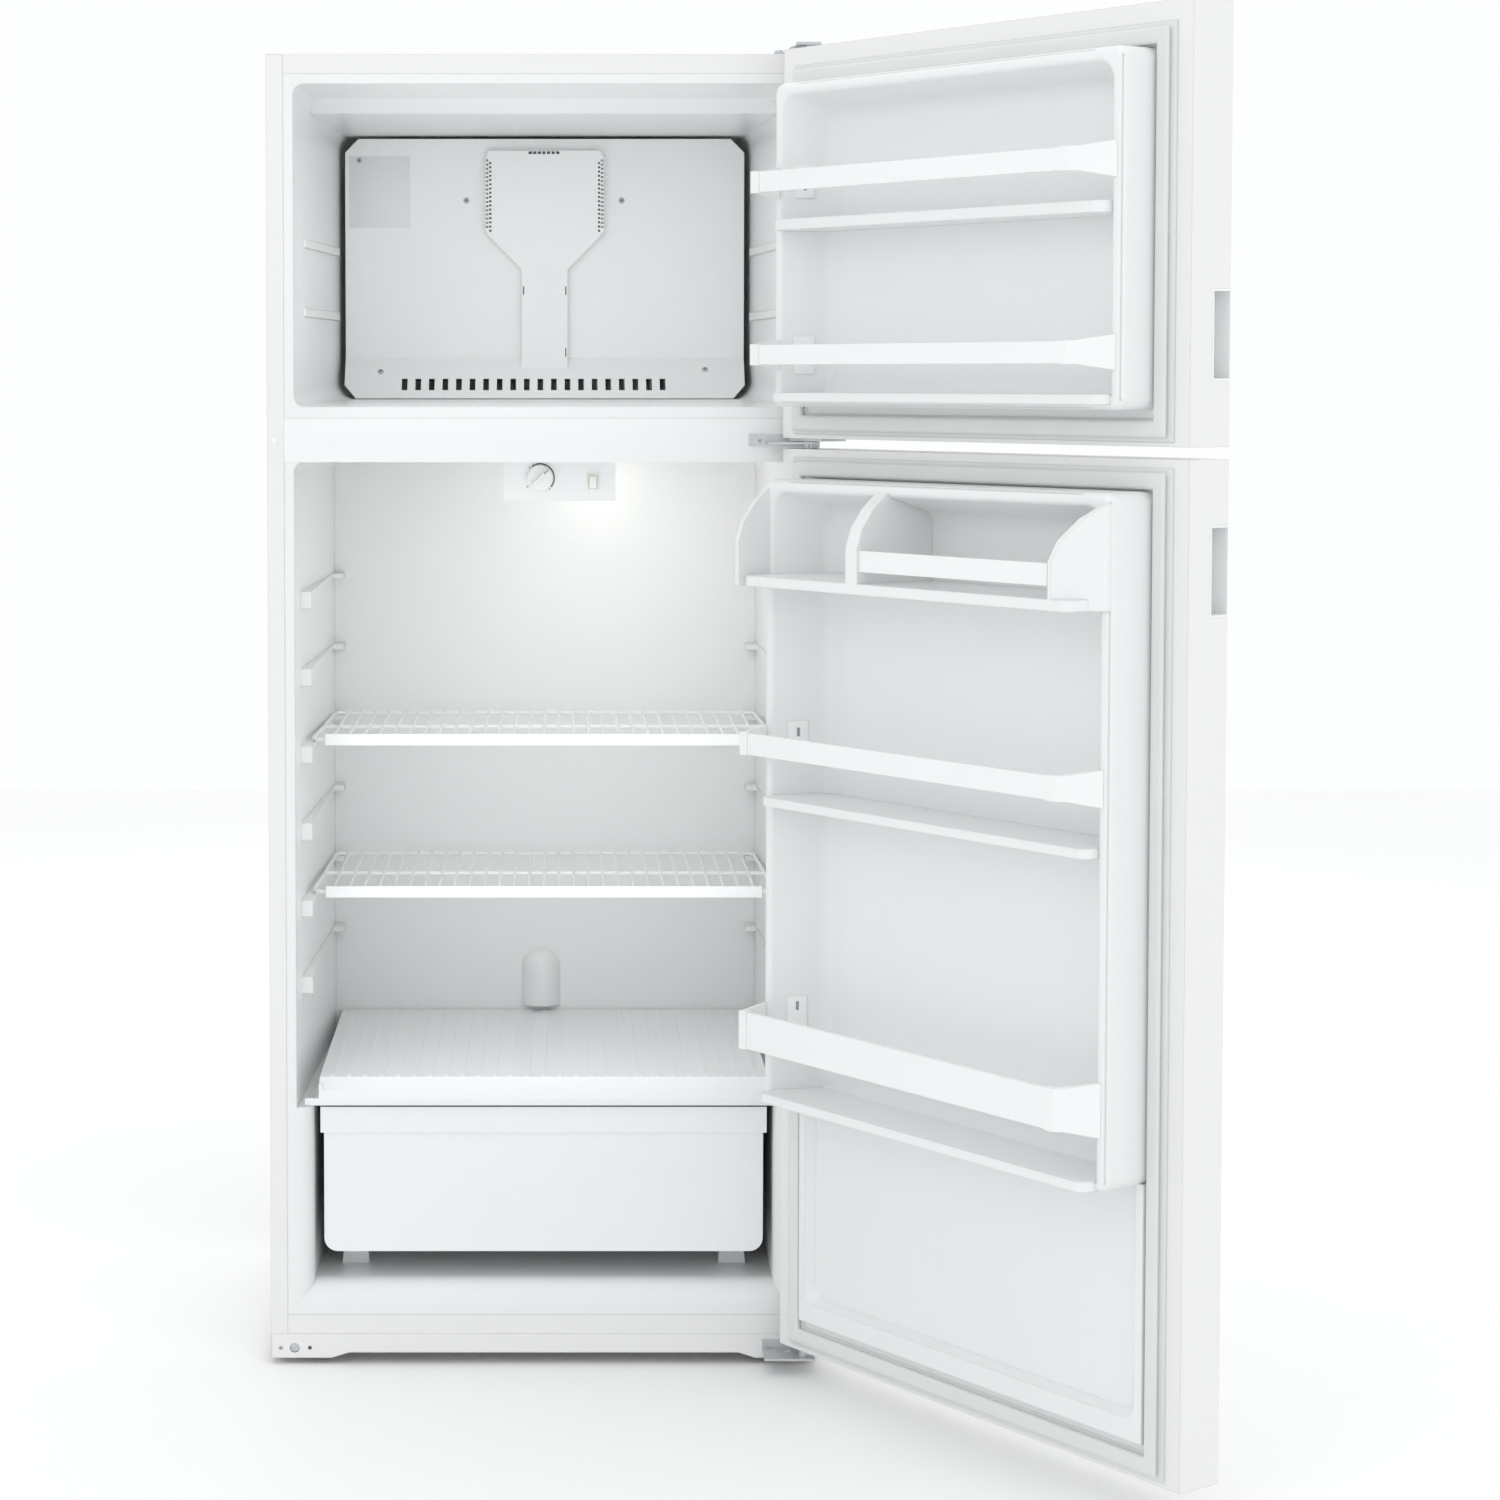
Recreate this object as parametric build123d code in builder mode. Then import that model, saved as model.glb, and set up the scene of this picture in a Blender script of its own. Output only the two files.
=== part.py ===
"""Top freezer refrigerator: cabinet, two hinged doors, shelves, crisper, cooling system and base.

Frame: millimetres, +Z up. The origin is on the floor, under the middle of the cabinet's front edge.
+Y runs back into the cabinet and +X to the hinge side. Doors are modelled closed, then swung open.
"""

from build123d import *
import os

os.makedirs("parts", exist_ok=True)

# ---------------------------------------------------------------- driving dimensions
WIDTH = 711.0  # cabinet and doors
SIDE = WIDTH / 2
CABINET_TOP = 1699.0
BODY_DEPTH = 565.0  # steel cabinet without doors and condenser
BASE_CLEARANCE = 8.0  # lower edge of the base panel above the floor
SHEET = 1.0  # folded steel
LINER = 2.0  # thermoformed cabinet liner
DOOR_LINER = 2.5
FLANGE = 22.0  # visible front edge of the steel cabinet
LINER_EDGE = 13.0  # visible front edge of the plastic liner
FRAME_X = SIDE - FLANGE  # where steel flange and liner edge meet
OPENING_X = FRAME_X - LINER_EDGE

MULLION = (1177.0, 1233.0)  # centre rail between the compartments
FREEZER_OPENING = (1248.0, 1661.0)
FRIDGE_OPENING = (77.0, MULLION[0])
RAIL_TOP = 65.0  # lower steel edge, under the fridge opening
BASE_TOP = 40.0  # top of the base panel and bottom of the insulated box
CAVITY_BACK = 495.0
BACK_X = 303.0  # half width of both cavities at their back
LEDGE = 338.0  # step in the liner that carries the crisper cover, and top of the hump over the machinery
HUMP_FRONT = 338.0
JAMB_X = 299.0  # narrower walls beside the crisper drawer
SILL_R = 31.0
JAMB_R = 21.5
MACHINE_FRONT = 392.0
MACHINE_TOP = 292.0

DOOR_GAP = 12.0
DOOR_THICKNESS = 69.0
DOOR_BACK = -DOOR_GAP
DOOR_FRONT = DOOR_BACK - DOOR_THICKNESS
HINGE_X = SIDE - 18.0
HINGE_Y = DOOR_BACK - 26.0
HINGE_LINE = Axis((HINGE_X, HINGE_Y, 0), (0, 0, 1))
OPEN_ANGLE = 125.0
PIN_R = 5.0
PIN_FIT = 0.05
FREEZER_BACK_X = 283.0
FREEZER_BACK = 490.0
FREEZER_DOOR = (1209.0, 1701.0)
FRIDGE_DOOR = (39.0, 1195.5)
DIKE_X = 305.5  # raised liner on the inside of a door
GASKET_W = 27.0


# ---------------------------------------------------------------- small drawing helpers
def at_depth(y):
    """The upright plane at depth y, seen from the front: X to the right and Z up."""
    return Plane(origin=(0, y, 0), x_dir=(1, 0, 0), z_dir=(0, -1, 0))


def block(x, y, z, mode=Mode.ADD):
    """A box between two limits on each axis."""
    with Locations(((x[0] + x[1]) / 2, (y[0] + y[1]) / 2, (z[0] + z[1]) / 2)):
        return Box(x[1] - x[0], y[1] - y[0], z[1] - z[0], mode=mode)


def rod(start, direction, radius, length, mode=Mode.ADD):
    """A round bar from a point along a direction."""
    with Locations(Plane(origin=start, z_dir=direction)):
        return Cylinder(radius, length, align=(Align.CENTER, Align.CENTER, Align.MIN), mode=mode)


def run_x(outline, x, mode=Mode.ADD):
    """An outline of (y, z) points carried from x[0] to x[1]."""
    with BuildSketch(Plane.YZ.offset(x[0])) as face:
        with BuildLine():
            Polyline(*outline, close=True)
        make_face()
    return extrude(face.sketch, amount=x[1] - x[0], mode=mode)


def run_y(outline, y, mode=Mode.ADD):
    """An outline of (x, z) points carried from y[0] to y[1]."""
    with BuildSketch(at_depth(y[0])) as face:
        with BuildLine():
            Polyline(*outline, close=True)
        make_face()
    return extrude(face.sketch, amount=-(y[1] - y[0]), mode=mode)


def run_z(outline, z, mode=Mode.ADD):
    """An outline of (x, y) points carried from z[0] to z[1]."""
    with BuildSketch(Plane.XY.offset(z[0])) as face:
        with BuildLine():
            Polyline(*outline, close=True)
        make_face()
    return extrude(face.sketch, amount=z[1] - z[0], mode=mode)


def pocket(front, back, y, radii, rows=(0, -1), bottom=0.0):
    """A hollow that narrows from its mouth to its bottom. front and back are ((x0, x1), (z0, z1))."""
    with BuildPart() as hollow:
        for (x, z), depth, radius in zip((front, back), y, radii):
            with BuildSketch(at_depth(depth)) as section:
                with Locations(((x[0] + x[1]) / 2, (z[0] + z[1]) / 2)):
                    Rectangle(x[1] - x[0], z[1] - z[0])
                for row in rows:
                    fillet(section.vertices().group_by(Axis.Y)[row], radius)
        loft()
        if bottom:
            end = hollow.faces().filter_by(Axis.Y).sort_by(Axis.Y)[0 if y[1] < y[0] else -1]
            fillet(end.edges(), bottom)
    return hollow.part


def tube(points, radii, radius):
    """A round tube or wire along straight runs joined by arcs."""
    with BuildPart() as bar:
        with BuildLine() as route:
            FilletPolyline(*points, radius=radii)
        with BuildSketch(Plane(origin=route.line @ 0, z_dir=route.line % 0)):
            Circle(radius)
        sweep(path=route.line)
    return bar.part


def save(piece, label):
    """Names a cabinet piece and writes it."""
    piece.part.label = label
    export_step(piece.part, f"parts/{label}.step")


def save_on_door(piece, label):
    """Names a door piece, swings it open about the hinge line and writes it."""
    swung = piece.part.rotate(HINGE_LINE, OPEN_ANGLE)
    swung.label = label
    export_step(swung, f"parts/{label}.step")



def freezer_wall(y):
    """Half width of the freezer compartment at depth y."""
    return OPENING_X - (OPENING_X - FREEZER_BACK_X) * y / FREEZER_BACK


def fridge_wall(y):
    """Half width of the fridge compartment at depth y."""
    return OPENING_X - (OPENING_X - BACK_X) * y / CAVITY_BACK


def freezer_hollow(grow):
    """The freezer compartment, grown by a wall thickness."""
    mouth = ((-OPENING_X - grow, OPENING_X + grow), (FREEZER_OPENING[0] - grow, FREEZER_OPENING[1] + grow))
    end = ((-FREEZER_BACK_X - grow, FREEZER_BACK_X + grow), (1258 - grow, 1628 + grow))
    form = pocket(mouth, end, (0, FREEZER_BACK + grow), (14 + grow, 30 + grow))
    ceiling = [(118, 1654 + grow), (150, 1635 + grow), (495, 1621 + grow), (495, 1700), (118, 1700)]
    with BuildPart() as hollow:
        add(form)
        run_x(ceiling, (-400, 400), mode=Mode.SUBTRACT)
    return hollow.part


def fridge_hollow(grow):
    """The fridge compartment with the narrower crisper bay under it, grown by a wall thickness."""
    mouth = ((-OPENING_X - grow, OPENING_X + grow), (LEDGE - grow, MULLION[0] + grow))
    end = ((-BACK_X - grow, BACK_X + grow), (LEDGE - grow, MULLION[0] + grow))
    form = pocket(mouth, end, (0, CAVITY_BACK + grow), (12 + grow, 24 + grow), rows=(-1,))
    sill = FRIDGE_OPENING[0]
    with BuildPart() as bay:
        with BuildSketch(Plane.YZ.offset(-340)):
            with BuildLine():
                CenterArc((SILL_R, sill), SILL_R - grow, 180, -90)
                Polyline((SILL_R, sill + SILL_R - grow), (HUMP_FRONT + grow, sill + SILL_R - grow),
                         (HUMP_FRONT + grow, LEDGE + 8), (-1, LEDGE + 8), (-1, sill), (grow, sill))
            make_face()
        extrude(amount=680)
        with BuildSketch(Plane.XY.offset(sill - 20)):
            with BuildLine():
                CenterArc((-OPENING_X, JAMB_R), JAMB_R - grow, -90, 90)
                Polyline((-JAMB_X - grow, JAMB_R), (-JAMB_X - grow, 380), (JAMB_X + grow, 380),
                         (JAMB_X + grow, JAMB_R))
                CenterArc((OPENING_X, JAMB_R), JAMB_R - grow, 180, 90)
                Polyline((OPENING_X, grow), (OPENING_X, -1), (-OPENING_X, -1), (-OPENING_X, grow))
            make_face()
        extrude(amount=400, mode=Mode.INTERSECT)
    with BuildPart() as hollow:
        add(form)
        add(bay.part)
    return hollow.part


# ---------------------------------------------------------------- cabinet skin
for label, sign in (("left_side_panel", -1), ("right_side_panel", 1)):
    outer, inner, fold = sign * SIDE, sign * (SIDE - SHEET), sign * FRAME_X
    with BuildPart() as side_panel:
        block(sorted((outer, inner)), (0, BODY_DEPTH), (14, CABINET_TOP - SHEET))
        block(sorted((outer, fold)), (0, SHEET), (BASE_TOP, CABINET_TOP - SHEET))
        block(sorted((outer, sign * (SIDE - 15))), (BODY_DEPTH - SHEET, BODY_DEPTH), (14,
                                                                                      CABINET_TOP - SHEET))
        if sign < 0:
            rod((-346, -1, 1204.5), (0, 1, 0), 3.5, 4, mode=Mode.SUBTRACT)
    save(side_panel, label)

with BuildPart() as top_panel:
    block((-SIDE, SIDE), (0, BODY_DEPTH), (CABINET_TOP - SHEET, CABINET_TOP))
    block((-FRAME_X, FRAME_X), (0, SHEET), (FREEZER_OPENING[1] + LINER_EDGE, CABINET_TOP))
save(top_panel, "top_panel")

with BuildPart() as back_panel:
    block((-SIDE + SHEET, SIDE - SHEET), (BODY_DEPTH - 2 * SHEET, BODY_DEPTH - SHEET),
          (MACHINE_TOP + SHEET, CABINET_TOP - SHEET))
    rod((-300, BODY_DEPTH - 5, 330), (0, 1, 0), 7, 10, mode=Mode.SUBTRACT)
save(back_panel, "back_panel")

# Sheet floor of the insulated box, folded up and back over the machine compartment.
with BuildPart() as bottom_panel:
    run_x([(0, BASE_TOP), (MACHINE_FRONT, BASE_TOP), (MACHINE_FRONT, MACHINE_TOP),
           (BODY_DEPTH - 2 * SHEET, MACHINE_TOP), (BODY_DEPTH - 2 * SHEET, MACHINE_TOP + SHEET),
           (MACHINE_FRONT - SHEET, MACHINE_TOP + SHEET), (MACHINE_FRONT - SHEET, BASE_TOP + SHEET),
           (SHEET, BASE_TOP + SHEET), (SHEET, RAIL_TOP), (0, RAIL_TOP)],
          (-FRAME_X, FRAME_X))
save(bottom_panel, "bottom_panel")

with BuildPart() as kick_panel:
    edge = SIDE - SHEET
    run_y([(-edge, BASE_CLEARANCE), (-276, BASE_CLEARANCE), (-254, 15), (254, 15), (276, BASE_CLEARANCE),
           (edge, BASE_CLEARANCE), (edge, BASE_TOP), (-edge, BASE_TOP)], (0, SHEET))
    block((-FRAME_X, FRAME_X), (SHEET, 18), (BASE_TOP - 1.2, BASE_TOP - 0.2))
    for x, radius in ((343, 2.5), (305, 2.5), (324.7, 6.2)):
        rod((-x, -1, 21.2), (0, 1, 0), radius, 4, mode=Mode.SUBTRACT)
        rod((x, -1, 21.2), (0, 1, 0), radius, 4, mode=Mode.SUBTRACT)
save(kick_panel, "kick_panel")

with BuildPart() as mullion_cover:
    block((-FRAME_X, FRAME_X), (0, 2), MULLION)
    block((-318, 318), (2, 13), (MULLION[0] + 2.2, MULLION[0] + 4))
    block((-318, 318), (2, 13), (MULLION[1] - 2, MULLION[1]))
    rod((-276, -1, 1204.5), (0, 1, 0), 3.5, 4, mode=Mode.SUBTRACT)
save(mullion_cover, "mullion_cover")

with BuildPart() as hole_plugs:
    for x in (-346, -276):
        rod((x, -1.4, 1204.5), (0, 1, 0), 4.5, 1.4)
        rod((x, 0, 1204.5), (0, 1, 0), 3.5, 3.4)
save(hole_plugs, "hole_plugs")

# ---------------------------------------------------------------- liners and foam
freezer_inner = freezer_hollow(0)
freezer_outer = freezer_hollow(LINER)
with BuildPart() as freezer_liner:
    block((-FRAME_X, FRAME_X), (0, LINER), (MULLION[1], FREEZER_OPENING[1] + LINER_EDGE))
    add(freezer_outer)
    add(freezer_inner, mode=Mode.SUBTRACT)
    for sign in (-1, 1):
        for z in (1371, 1461):
            run_z([(sign * (freezer_wall(84) + 1), 84), (sign * (freezer_wall(84) - 3), 88),
                   (sign * (freezer_wall(400) - 3), 396), (sign * (freezer_wall(400) + 1),
                                                           400)], (z - 5.5, z + 5.5))
save(freezer_liner, "freezer_liner")

SHELF_LEVELS = [498 + 101.6 * step for step in range(6)]
SUPPORT_X = 303.5
fridge_inner = fridge_hollow(0)
fridge_outer = fridge_hollow(LINER)
with BuildPart() as shelf_supports:
    for sign in (-1, 1):
        reach = sorted((sign * SUPPORT_X, sign * 321.5))
        corner = sorted((sign * 288, sign * 304))
        for level in SHELF_LEVELS:
            run_x([(62, level), (480, level), (480, level - 7), (96, level - 7), (70, level - 25), (62,
                                                                                                    level - 22)], reach)
            block(corner, (466, 496), (level - 8, level))
    add(fridge_outer, mode=Mode.INTERSECT)

with BuildPart() as fridge_liner:
    block((-FRAME_X, FRAME_X), (0, LINER), (RAIL_TOP, MULLION[0]))
    add(fridge_outer)
    add(fridge_inner, mode=Mode.SUBTRACT)
    add(shelf_supports.part)
    with Locations((-6, CAVITY_BACK + 12, 379)):
        Cylinder(30, 55, align=(Align.CENTER, Align.CENTER, Align.MIN))
    with Locations((-6, CAVITY_BACK + 12, 434)):
        Sphere(30)
    block((-60, 60), (CAVITY_BACK + LINER, CAVITY_BACK + 60), (300, 500), mode=Mode.SUBTRACT)
    block((-400, 400), (-5, 0), (0, 1300), mode=Mode.SUBTRACT)
    block((-400, 400), (-5, LINER), (MULLION[0], 1300), mode=Mode.SUBTRACT)
save(fridge_liner, "fridge_liner")

# Blown foam, as flat slabs that butt against each other.
with BuildPart() as foam_insulation:
    steel = SIDE - SHEET
    rear = BODY_DEPTH - 2 * SHEET
    middle = 1205
    front = 4
    skin = LINER + 0.3
    joint = 0.3
    cavity = FREEZER_BACK + LINER
    far = CAVITY_BACK + LINER
    roof = CABINET_TOP - SHEET
    bay = JAMB_X + LINER
    for s in (-1, 1):
        run_z([(s * steel, front), (s * (freezer_wall(front) + skin), front),
               (s * (freezer_wall(rear) + skin), rear), (s * steel, rear)], (middle, roof))
        run_z([(s * steel, front), (s * (fridge_wall(front) + skin), front),
               (s * (fridge_wall(rear) + skin), rear), (s * steel, rear)], (LEDGE - LINER, middle - joint))
        block(sorted((s * steel, s * bay)), (31, MACHINE_FRONT - SHEET), (BASE_TOP + SHEET,
                                                                          LEDGE - LINER - joint))
        block(sorted((s * steel, s * bay)), (MACHINE_FRONT - SHEET + joint, rear),
              (MACHINE_TOP + SHEET, LEDGE - LINER - joint))
        block(sorted((s * steel, s * (OPENING_X + LINER))), (front, 31 - joint), (RAIL_TOP,
                                                                                  LEDGE - LINER - joint))
    back_x = freezer_wall(rear) + skin - joint
    block((-back_x, back_x), (cavity, rear), (middle, roof))
    back_x = fridge_wall(rear) + skin - joint
    block((-back_x, back_x), (far, rear), (LEDGE - LINER, middle - joint))
    bay = bay - joint
    block((-bay, bay), (31, HUMP_FRONT + LINER - joint), (BASE_TOP + SHEET, 106))
    block((-bay, bay), (HUMP_FRONT + LINER, MACHINE_FRONT - SHEET), (BASE_TOP + SHEET, LEDGE - LINER))
    block((-bay, bay), (MACHINE_FRONT - SHEET + joint, rear), (MACHINE_TOP + SHEET, LEDGE - LINER - joint))
    block((-302, 302), (14, far - joint), (MULLION[0] + 4.5, middle - joint))
    block((-279, 279), (14, cavity - joint), (middle, FREEZER_OPENING[0] - LINER))
    block((-279, 279), (14, 118 - joint), (FREEZER_OPENING[1] + LINER, roof))
    run_x([(118, 1656.3), (150, 1637.3), (cavity - joint, 1623.5), (cavity - joint, roof), (118, roof)],
          (-279, 279))
save(foam_insulation, "foam_insulation")

# ---------------------------------------------------------------- freezer fittings
COVER_Y = 410.0
FAN_Z = 1538.0
with BuildPart() as evaporator_cover:
    run_x([(COVER_Y, 1620), (COVER_Y, 1314), (365, 1257), (367.5, 1256), (COVER_Y + 2.5, 1313),
           (COVER_Y + 2.5, 1620)],
          (-280, 280))
    for sign in (-1, 1):
        run_y([(sign * 281, 1600), (sign * 260, 1621), (sign * 281, 1621)], (COVER_Y - 1, COVER_Y + 4),
              mode=Mode.SUBTRACT)
        run_y([(sign * 262, 1255), (sign * 281, 1276), (sign * 281, 1255)], (360, COVER_Y),
              mode=Mode.SUBTRACT)
    rod((0, COVER_Y - 2, FAN_Z), (0, 1, 0), 54, 6, mode=Mode.SUBTRACT)
    for step in range(20):
        block((-200 + 19 * step, -192 + 19 * step), (370, 400), (1268, 1284), mode=Mode.SUBTRACT)
save(evaporator_cover, "evaporator_cover")

with BuildPart() as air_duct_cover:
    duct = [(-78, 1603), (-83, 1593), (-83, 1491), (-78, 1484), (-32, 1437), (-32, 1291)]
    run_y(duct + [(-x, z) for x, z in reversed(duct)], (COVER_Y - 12, COVER_Y))
    inside = [(-75.5, 1600), (-80.5, 1592), (-80.5, 1492), (-76, 1486), (-29.5, 1438), (-29.5, 1293.5)]
    run_y(inside + [(-x, z) for x, z in reversed(inside)], (COVER_Y - 9.5, COVER_Y), mode=Mode.SUBTRACT)
    for step in range(17):
        for span in ((-90, -79), (79, 90)):
            block(span, (COVER_Y - 13, COVER_Y - 2), (1495 + 5.8 * step, 1498 + 5.8 * step),
                  mode=Mode.SUBTRACT)
    for step in range(7):
        block((-20 + 6 * step, -17 + 6 * step), (COVER_Y - 13, COVER_Y - 2), (1598, 1610),
              mode=Mode.SUBTRACT)
    run_x([(COVER_Y, 1314), (365, 1257), (430, 1257), (430, 1314)], (-90, 90), mode=Mode.SUBTRACT)
save(air_duct_cover, "air_duct_cover")

with BuildPart() as evaporator_cover_screws:
    for x, z in ((-260, 1590), (-110, 1534), (108, 1534)):
        rod((x, COVER_Y, z), (0, -1, 0), 4, 2)
    for x, z in ((-230, 1294), (225, 1297)):
        rod((x, COVER_Y - 45 * (1314 - z) / 57 - 0.6, z), (0, -57, 45), 4, 2)
save(evaporator_cover_screws, "evaporator_cover_screws")

coil = [(-215, 452, 1445)]
for row in range(5):
    side = 1 if row % 2 == 0 else -1
    coil += [(side * 238, 452, 1445 - 32 * row), (side * 238, 452, 1413 - 32 * row)]
coil += [(-215, 452, 1285)]
with BuildPart() as evaporator_coil:
    add(tube(coil, 14, 4))
    for step in range(23):
        block((-212 + 19 * step, -211 + 19 * step), (430, 474), (1270, 1460))
save(evaporator_coil, "evaporator_coil")

with BuildPart() as evaporator_fan_motor:
    rod((0, 452, FAN_Z), (0, 1, 0), 22, 24)
    rod((0, 428, FAN_Z), (0, 1, 0), 2.5, 25)
    block((-60, 60), (476, 479), (FAN_Z - 8, FAN_Z + 8))
    for x in (-56, 56):
        block((x - 4, x + 4), (479, FREEZER_BACK), (FAN_Z - 8, FAN_Z + 8))
save(evaporator_fan_motor, "evaporator_fan_motor")

with BuildPart() as blade:
    with Locations(Location((28, 437, FAN_Z), (30, 0, 0))):
        Box(40, 1.6, 22)
with BuildPart() as evaporator_fan:
    rod((0, 430, FAN_Z), (0, 1, 0), 11, 14)
    for turn in range(4):
        add(blade.part.rotate(Axis((0, 437, FAN_Z), (0, 1, 0)), 90 * turn))
    rod((0, 420, FAN_Z), (0, 1, 0), 2.5 + PIN_FIT, 30, mode=Mode.SUBTRACT)
save(evaporator_fan, "evaporator_fan")

# ---------------------------------------------------------------- fridge fittings
with BuildPart() as control_housing:
    run_x([(125, 1133), (125, 1177), (205, 1177), (205, 1122), (137, 1122)], (-53, 95))
    run_x([(127.5, 1134), (127.5, 1180), (210, 1180), (210, 1124.5), (138, 1124.5)], (-50.5, 92.5),
          mode=Mode.SUBTRACT)
    rod((-5, 120, 1153), (0, 1, 0), 6, 12, mode=Mode.SUBTRACT)
    block((59.2, 70.8), (120, 130), (1138.2, 1156.8), mode=Mode.SUBTRACT)
save(control_housing, "control_housing")

with BuildPart() as thermostat:
    block((-32, 22), (134, 170), (1134, 1176.8))
    rod((-5, 127.5, 1153), (0, 1, 0), 8, 7)
    rod((-5, 120, 1153), (0, 1, 0), 3 + PIN_FIT, 32, mode=Mode.SUBTRACT)
save(thermostat, "thermostat")

with BuildPart() as thermostat_knob:
    rod((-5, 117, 1153), (0, 1, 0), 17, 7)
    with Locations(Location((-5, 114, 1153), (0, -35, 0))):
        Box(32, 8, 8)
    rod((-5, 124, 1153), (0, 1, 0), 3, 27)
save(thermostat_knob, "thermostat_knob")

with BuildPart() as light_switch:
    block((60, 70), (117, 140), (1139, 1156))
save(light_switch, "light_switch")

with BuildPart() as light_bulb:
    block((40, 72), (165, 172), (1130, 1176.8))
    rod((56, 172, 1150), (0, 1, 0), 11, 26)
    with Locations((56, 216, 1150)):
        Sphere(22)
save(light_bulb, "light_bulb")

COVER_TOP = 372.0
with BuildPart() as crisper_cover:
    run_x([(492, COVER_TOP), (30, COVER_TOP), (14, 358), (8, 348), (8, 339), (12, 339), (12, 346.5), (17,
                                                                                                      355.5),
           (31.5, 368), (492, 368)], (-293, 293))
    block((-311, 311), (8, 12), (339, 348))
    for sign in (-1, 1):
        block(sorted((sign * 289, sign * 293)), (12, 492), (LEDGE, 366))
        block(sorted((sign * 292, sign * 302)), (12, 486), (LEDGE, LEDGE + 3))
        run_x([(12, LEDGE), (492, LEDGE), (492, COVER_TOP), (30, COVER_TOP), (14, 358), (12, 352)],
              sorted((sign * 290.5, sign * 293)))
    for step in range(27):
        block((-279 + 21.2 * step, -273 + 21.2 * step), (34, 488), (COVER_TOP, COVER_TOP + 1.6))
save(crisper_cover, "crisper_cover")

drawer_inside = pocket(((-284, 284), (148, 345)), ((-282, 282), (148, 345)), (18, 287), (14, 14), rows=(0,))
with BuildPart() as crisper_drawer:
    with BuildSketch(at_depth(15)) as face:
        with Locations((0, 240)):
            Rectangle(573, 190)
        fillet(face.vertices().group_by(Axis.Y)[0], 18)
    extrude(face.sketch, amount=-275)
    block((-291, 291), (13, 18), (302, 336))
    add(drawer_inside, mode=Mode.SUBTRACT)
    for x in (-250, 250):
        run_y([(x - 18, 108.4), (x + 18, 108.4), (x + 14, 145.5), (x - 14, 145.5)], (93, 285))
save(crisper_drawer, "crisper_drawer")

frame = [(-280, 118), (-307, 118), (-299.5, 470), (299.5, 470), (307, 118), (280, 118)]
for label, level in (("upper_wire_shelf", SHELF_LEVELS[3]), ("lower_wire_shelf", SHELF_LEVELS[1])):
    height = level + 2.8
    rim = tube([(x, y, height) for x, y in frame], 14, 2.5)
    with BuildPart() as wire_shelf:
        add(rim)
        rod((-303.5, 282, height), (1, 0, 0), 2.5, 607)
        block((-290, 290), (111, 113.5), (height - 7, height + 8))
        rod((-290, 115, height), (1, 0, 0), 2.5, 580)
        for step in range(29):
            rod((-280 + 20 * step, 113, height + 3.4), (0, 1, 0), 1.6, 359)
    save(wire_shelf, label)

# ---------------------------------------------------------------- hinges on the cabinet
with BuildPart() as top_hinge:
    run_y([(296, 1699), (310, 1699), (320, 1706), (352, 1706), (352, 1709.5), (318.5, 1709.5), (308.5,
                                                                                                1702.5),
           (296, 1702.5)], (6, 84))
    block((320, 352), (-50, 6), (1706, 1709.5))
    rod((HINGE_X, HINGE_Y, 1709.5), (0, 0, -1), PIN_R, 27)
    for y in (24, 66):
        rod((303, y, 1690), (0, 0, 1), 2.6, 20, mode=Mode.SUBTRACT)
save(top_hinge, "top_hinge")

with BuildPart() as centre_hinge:
    block((264, 350), (-3, 0), (1198.6, 1213))
    block((286, 350), (-55, 0), (1201, 1204))
    rod((HINGE_X, HINGE_Y, 1178), (0, 0, 1), PIN_R, 52)
    for x in (271, 279):
        rod((x, -4, 1204.5), (0, 1, 0), 2.6, 5, mode=Mode.SUBTRACT)
save(centre_hinge, "centre_hinge")

with BuildPart() as bottom_hinge:
    block((285, 350), (-3, 0), (20, 33))
    block((285, 350), (-55, 0), (20, 23))
    rod((HINGE_X, HINGE_Y, 23), (0, 0, 1), 8, 15.2)
    rod((HINGE_X, HINGE_Y, 22), (0, 0, 1), PIN_R, 38)
    rod((316, -20, 15), (0, 0, 1), 5, 12, mode=Mode.SUBTRACT)
    for x in (294, 341):
        rod((x, -4, 28), (0, 1, 0), 2.1, 5, mode=Mode.SUBTRACT)
save(bottom_hinge, "bottom_hinge")

with BuildPart() as hinge_screws:
    for x, z, size in ((271, 1204.5, 4.3), (294, 28, 3.6), (341, 28, 3.6)):
        with Locations(Plane(origin=(x, -3, z), z_dir=(0, -1, 0))):
            Cylinder(size, 2.6, align=(Align.CENTER, Align.CENTER, Align.MIN))
        rod((x, -3, z), (0, 1, 0), 2, 3)
    for y in (24, 66):
        rod((303, y, 1702.5), (0, 0, 1), 5, 3)
        rod((303, y, 1699), (0, 0, 1), 2.5, 3.5)
save(hinge_screws, "hinge_screws")

# ---------------------------------------------------------------- base, rollers and machinery
ROLLER_R = 18.0
ROLLERS = {"front_left": (-292, 70), "front_right": (292, 70), "rear_left": (-316, 520),
           "rear_right": (316, 520)}
with BuildPart() as machine_base:
    block((-SIDE + SHEET, SIDE - SHEET), (MACHINE_FRONT, BODY_DEPTH - SHEET), (BASE_TOP + 2, BASE_TOP + 4))
    block((-FRAME_X, FRAME_X), (MACHINE_FRONT, MACHINE_FRONT + 2), (BASE_TOP - 4, BASE_TOP + 14))
save(machine_base, "machine_base")

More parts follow.
